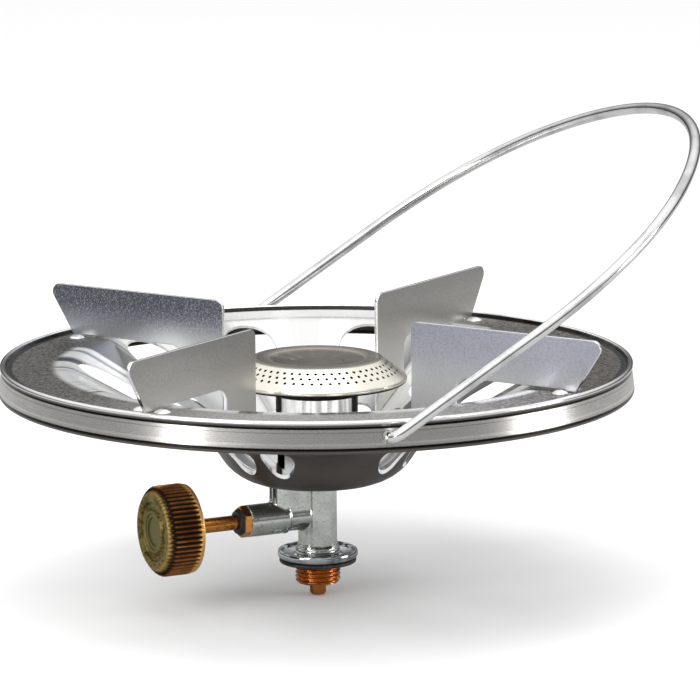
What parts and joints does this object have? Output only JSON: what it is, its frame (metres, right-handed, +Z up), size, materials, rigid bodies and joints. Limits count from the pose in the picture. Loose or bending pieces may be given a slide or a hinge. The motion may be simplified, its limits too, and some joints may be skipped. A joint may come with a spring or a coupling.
{
  "type": "camping gas stove",
  "caption": "Camping gas stove with a steel dish, perforated burner, upright pot supports, wire bail and ribbed control knob, screwing onto a refillable cylinder.",
  "frame": {"origin": "on the burner axis at the underside of the rubber gasket, where the thread enters the cylinder", "axes": "+Z up along the burner axis, the bail hinges about Y and stands up on the +X side, the valve branch points to -X turned 14 degrees towards -Y"},
  "size_m": [0.245, 0.24, 0.1699],
  "materials": {
    "stainless": "polished, with a fine grain",
    "plate_steel": "satin",
    "chromed_wire": "bright",
    "burner_steel": "bright, top darkened",
    "chromed_tube": "bright",
    "nickel_casting": "nickelled casting, satin",
    "chromed_collar": "bright",
    "screw_steel": "zinc plated",
    "brass": "copper-toned, turned",
    "sintered_bronze": "sintered, dull",
    "bronze_plastic": "metallised bronze",
    "knob_centre": "olive bronze",
    "rubber": "black"
  },
  "bodies": {
    "stove": {"dish": "stainless", "pot_support_1": "plate_steel", "pot_support_2": "plate_steel", "pot_support_3": "plate_steel", "pot_support_4": "plate_steel", "burner_cap": "burner_steel", "burner_cup": "burner_steel", "burner_neck": "chromed_tube", "jet": "brass", "fixing_screw": "screw_steel", "valve_body": "nickel_casting", "packing_ring": "rubber", "gland_nut": "brass", "dust_ring": "rubber", "collar": "chromed_collar", "gasket": "rubber", "connector": "brass", "push_pin": "brass", "filter_disc": "sintered_bronze"},
    "bail": {"bail": "chromed_wire"},
    "spindle": {"spindle": "brass"},
    "knob": {"knob": "bronze_plastic", "knob_screw": "screw_steel", "knob_cap": "knob_centre"}
  },
  "joints": [
    {"name": "bail_hinge", "type": "hinge", "parent": "stove", "child": "bail", "pos_m": [0, 0, 0.0677], "axis": [0, 1, 0], "range_deg": [-190, 80]},
    {"name": "spindle_travel", "type": "slide", "parent": "stove", "child": "spindle", "axis": [-0.9694, -0.2453, 0], "range_m": [0, 0.002]},
    {"name": "knob_turn", "type": "hinge", "parent": "spindle", "child": "knob", "pos_m": [-0.04847, -0.01226, 0.0174], "axis": [-0.9694, -0.2453, 0], "range_deg": [0, 720]}
  ],
  "couplings": [
    {"joint": "knob_turn", "follows": "spindle_travel", "rad_per_m": 6283.2}
  ]
}
